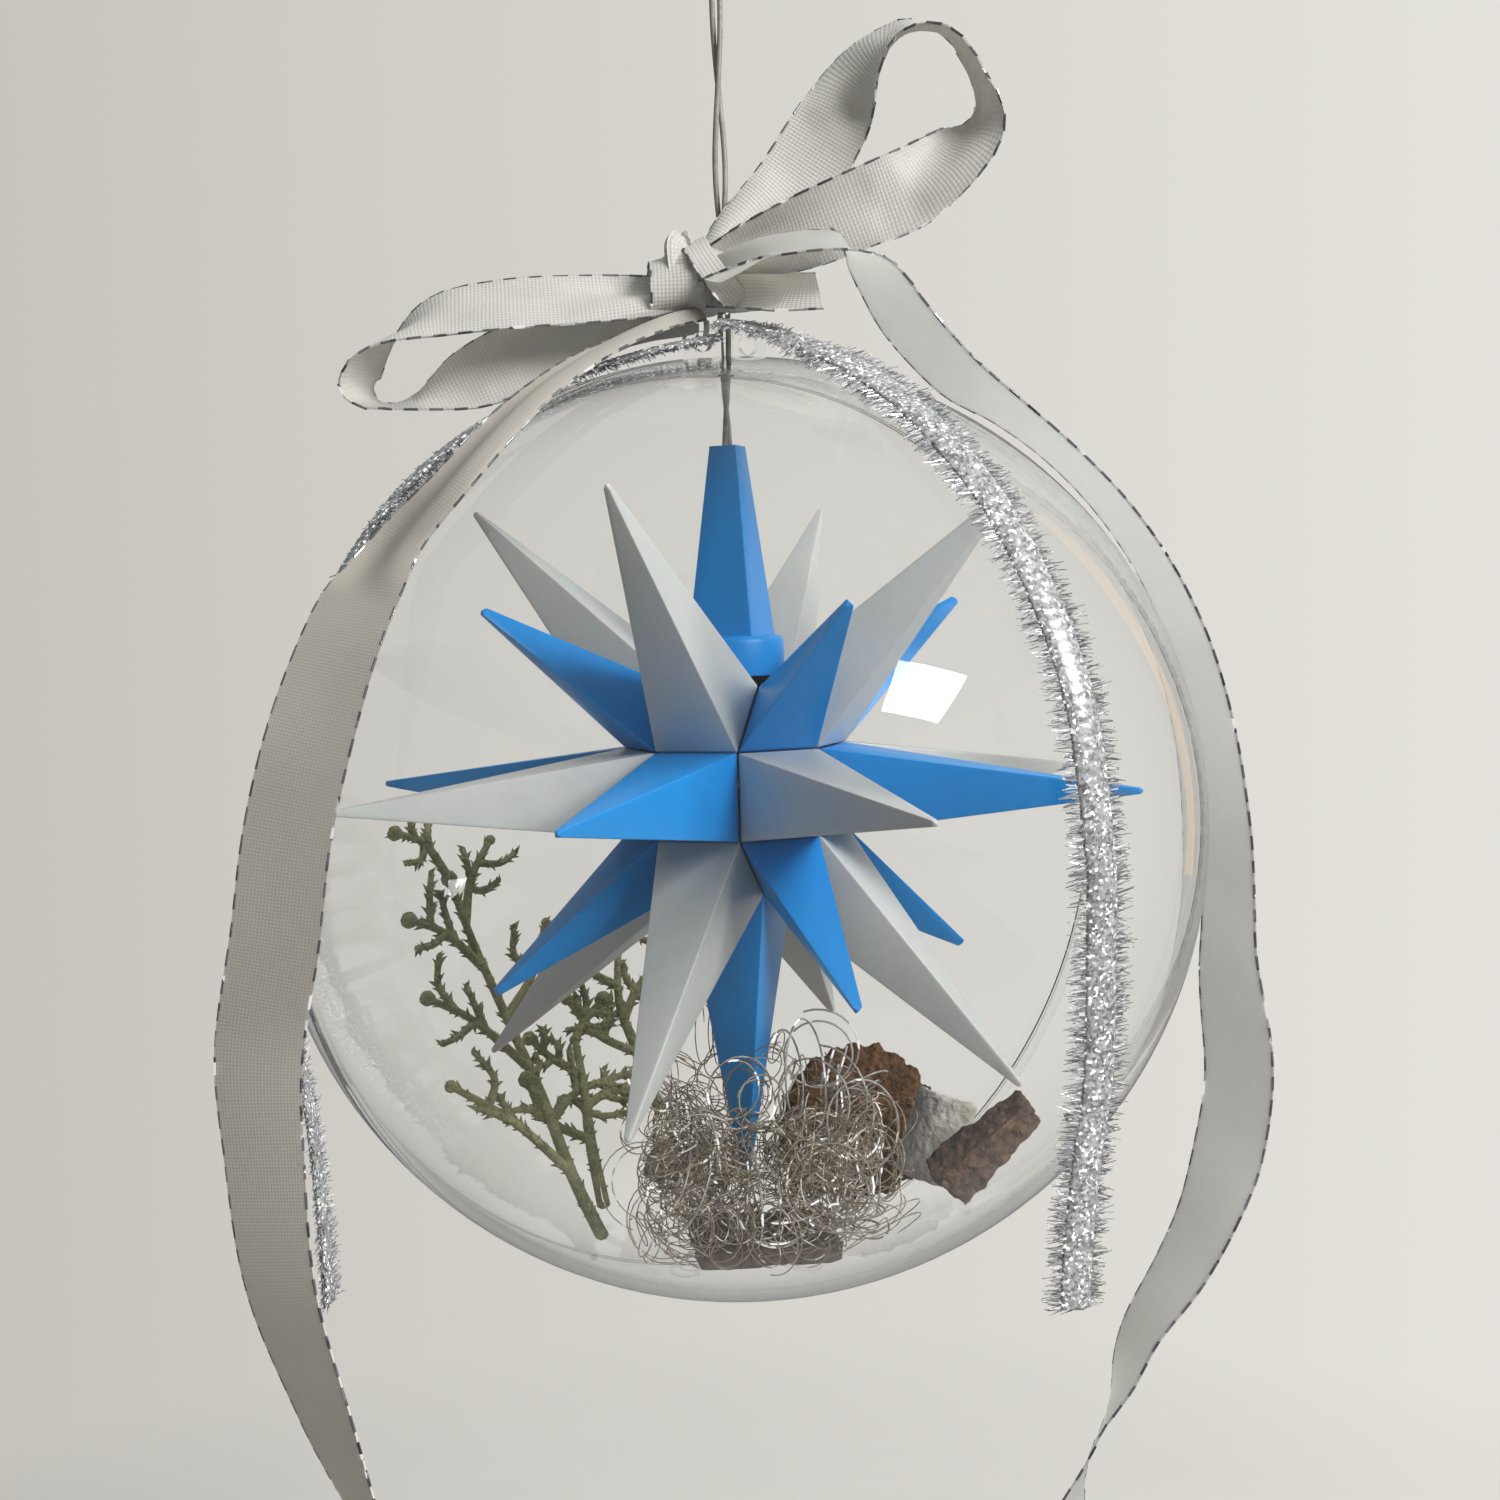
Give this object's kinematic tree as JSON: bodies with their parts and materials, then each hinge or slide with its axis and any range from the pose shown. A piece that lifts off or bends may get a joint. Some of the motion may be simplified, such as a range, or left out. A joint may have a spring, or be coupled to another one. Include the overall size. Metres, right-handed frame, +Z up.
{
  "type": "moravian star bauble",
  "caption": "Clear two-part hanging bauble with a lit folded-point star inside, dry trimmings below it, a ribbon bow on top and tinsel braid over the ball.",
  "frame": {"origin": "inside top of the hanging loop, where the hook carries it", "axes": "+Z up along the cable; -Y towards the picture's camera; +X to the picture's right"},
  "size_m": [0.1579, 0.1478, 0.2696],
  "materials": {
    "star_blue": "translucent moulded plastic, satin",
    "star_white": "translucent moulded plastic, satin",
    "lamp_black": "matt",
    "lamp_lens": "clear cast resin",
    "ball_clear": "clear, polished",
    "cable_pale": "thin insulation",
    "sleeve_metal": "plain",
    "ribbon_satin": "woven satin with silver stitched edges",
    "tinsel_silver": "metallised strands on a braided core",
    "sprig_green": "dried, glittered",
    "lichen_grey": "dried",
    "bark_brown": "rough",
    "birch_pale": "weathered",
    "curl_wire": "bright fine wire"
  },
  "bodies": {
    "hanger": {"cable_wire_a": "cable_pale", "cable_wire_b": "cable_pale", "hanger_sleeve": "sleeve_metal", "hanger_loop": "cable_pale"},
    "bauble": {"front_shell": "ball_clear", "ribbon_knot": "ribbon_satin", "ribbon_tie": "ribbon_satin", "ribbon_left_loop": "ribbon_satin", "ribbon_right_loop": "ribbon_satin", "ribbon_cut_end": "ribbon_satin", "ribbon_left_tail": "ribbon_satin", "ribbon_right_tail": "ribbon_satin", "tinsel_left": "tinsel_silver", "tinsel_right": "tinsel_silver", "sprig_left": "sprig_green", "sprig_rear": "sprig_green", "lichen_tuft": "lichen_grey", "bark_base": "bark_brown", "bark_disc": "bark_brown", "driftwood_chunk": "bark_brown", "birch_chip": "birch_pale", "wire_curls_lower": "curl_wire", "wire_curls_upper": "curl_wire", "wire_curls_front": "curl_wire"},
    "rear_half": {"rear_shell": "ball_clear"},
    "star": {"equator_point_1": "star_blue", "equator_point_2": "star_white", "equator_point_3": "star_blue", "equator_point_4": "star_white", "equator_point_5": "star_blue", "equator_point_6": "star_white", "equator_point_7": "star_blue", "equator_point_8": "star_white", "upper_point_1": "star_white", "upper_point_2": "star_blue", "upper_point_3": "star_white", "upper_point_4": "star_blue", "upper_point_5": "star_white", "upper_point_6": "star_blue", "upper_point_7": "star_white", "upper_point_8": "star_blue", "lower_point_1": "star_white", "lower_point_2": "star_blue", "lower_point_3": "star_white", "lower_point_4": "star_blue", "lower_point_5": "star_white", "lower_point_6": "star_blue", "lower_point_7": "star_white", "lower_point_8": "star_blue", "bottom_point": "star_blue", "inner_wire_a": "cable_pale", "inner_wire_b": "cable_pale"},
    "lamp_cap": {"top_cap": "star_blue", "lamp_socket": "lamp_black", "led": "lamp_lens"}
  },
  "joints": [
    {"name": "bauble_turn", "type": "hinge", "parent": "hanger", "child": "bauble", "pos_m": [0, 0, -0.0732], "axis": [0, 0, 1], "range_deg": [-180, 180]},
    {"name": "rear_half_slide", "type": "slide", "parent": "bauble", "child": "rear_half", "axis": [-0.4664, 0.8846, 0], "range_m": [0, 0.09]},
    {"name": "star_turn", "type": "hinge", "parent": "bauble", "child": "star", "pos_m": [0, 0, -0.141], "axis": [0, 0, 1], "range_deg": [-180, 180]},
    {"name": "lamp_cap_lift", "type": "slide", "parent": "star", "child": "lamp_cap", "axis": [0, 0, 1], "range_m": [0, 0.009], "deforming": ["inner_wire_a", "inner_wire_b"]}
  ]
}
